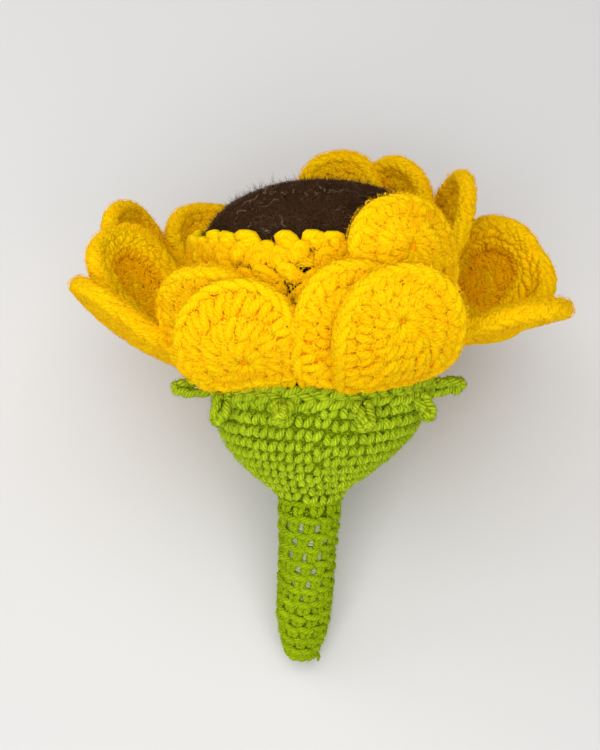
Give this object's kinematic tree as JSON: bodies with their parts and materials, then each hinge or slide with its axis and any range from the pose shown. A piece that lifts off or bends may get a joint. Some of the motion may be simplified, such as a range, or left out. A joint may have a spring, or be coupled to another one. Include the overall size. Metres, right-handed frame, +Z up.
{
  "type": "crocheted sunflower head on a short stem",
  "caption": "Crocheted, stuffed sunflower lying on its side: green stem and calyx bowl with small sepals, cupped yellow petals, scalloped band, brown seed dome.",
  "frame": {"origin": "on the table, under the middle of the flower's bounding box as it lies", "axes": "+Y from the stem's foot towards the seed dome along the table, +X to the right of that, +Z up"},
  "size_m": [0.1492, 0.1686, 0.1265],
  "materials": {
    "green_yarn": "lime green worsted yarn in single crochet",
    "yellow_yarn": "golden yellow worsted yarn in crocheted rounds",
    "brown_yarn": "dark brown fuzzy yarn, brushed like felt"
  },
  "bodies": {
    "root": {"stem": "green_yarn", "calyx_bowl": "green_yarn", "seed_dome": "brown_yarn", "petal_lower_1": "yellow_yarn", "petal_lower_2": "yellow_yarn", "petal_lower_3": "yellow_yarn", "petal_lower_4": "yellow_yarn", "petal_lower_5": "yellow_yarn", "petal_lower_6": "yellow_yarn", "petal_middle_1": "yellow_yarn", "petal_middle_2": "yellow_yarn", "petal_middle_3": "yellow_yarn", "petal_middle_4": "yellow_yarn", "petal_middle_5": "yellow_yarn", "petal_middle_6": "yellow_yarn", "petal_middle_7": "yellow_yarn", "petal_upper_1": "yellow_yarn", "petal_upper_2": "yellow_yarn", "petal_upper_3": "yellow_yarn", "petal_upper_4": "yellow_yarn", "petal_upper_5": "yellow_yarn", "petal_upper_6": "yellow_yarn", "scalloped_band": "yellow_yarn", "sepal_1": "green_yarn", "sepal_2": "green_yarn", "sepal_3": "green_yarn", "sepal_4": "green_yarn", "sepal_5": "green_yarn", "sepal_6": "green_yarn", "sepal_7": "green_yarn", "sepal_8": "green_yarn", "sepal_9": "green_yarn", "sepal_10": "green_yarn"}
  },
  "joints": []
}
